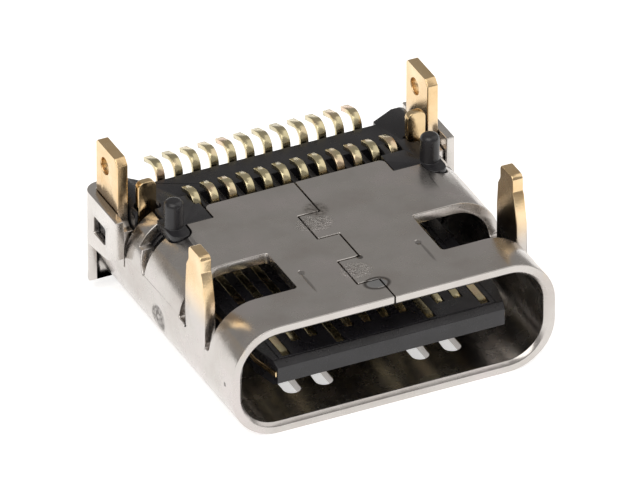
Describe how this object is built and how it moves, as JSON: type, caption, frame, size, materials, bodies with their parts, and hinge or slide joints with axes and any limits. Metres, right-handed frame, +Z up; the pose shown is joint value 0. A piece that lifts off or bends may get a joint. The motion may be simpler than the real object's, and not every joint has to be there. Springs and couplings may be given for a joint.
{
  "type": "usb-c socket",
  "caption": "Right-angle board-mount USB-C socket: rolled metal shell with solder legs, rear cover, black housing, tongue and two rows of curved contact feet.",
  "frame": {"origin": "middle of the mouth's lower outer edge, on the flat wall that the socket rests on", "axes": "+X across the mouth, to the right seen from in front of it; +Y back from the mouth plane; +Z up from the resting wall to the board side"},
  "size_m": [0.0094, 0.0087, 0.0045],
  "materials": {
    "shell_nickel": "satin nickel plate",
    "cover_nickel": "satin nickel plate",
    "housing_plastic": "fine moulded black",
    "carrier_plastic": "fine moulded dark grey",
    "plate_gold": "thin gold plate over nickel",
    "pad_steel": "satin",
    "contact_gold": "pale gold plate"
  },
  "bodies": {
    "root": {"shell": "shell_nickel", "rear_cover": "cover_nickel", "housing": "housing_plastic", "board_carrier": "carrier_plastic", "far_carrier": "carrier_plastic", "mid_plate": "plate_gold", "board_ground_pad": "pad_steel", "far_ground_pad": "pad_steel", "board_contact_1": "contact_gold", "board_contact_2": "contact_gold", "board_contact_3": "contact_gold", "board_contact_4": "contact_gold", "board_contact_5": "contact_gold", "board_contact_6": "contact_gold", "board_contact_7": "contact_gold", "board_contact_8": "contact_gold", "board_contact_9": "contact_gold", "board_contact_10": "contact_gold", "board_contact_11": "contact_gold", "board_contact_12": "contact_gold", "far_contact_1": "contact_gold", "far_contact_2": "contact_gold", "far_contact_3": "contact_gold", "far_contact_4": "contact_gold", "far_contact_5": "contact_gold", "far_contact_6": "contact_gold", "far_contact_7": "contact_gold", "far_contact_8": "contact_gold", "far_contact_9": "contact_gold", "far_contact_10": "contact_gold", "far_contact_11": "contact_gold", "far_contact_12": "contact_gold"}
  },
  "joints": []
}
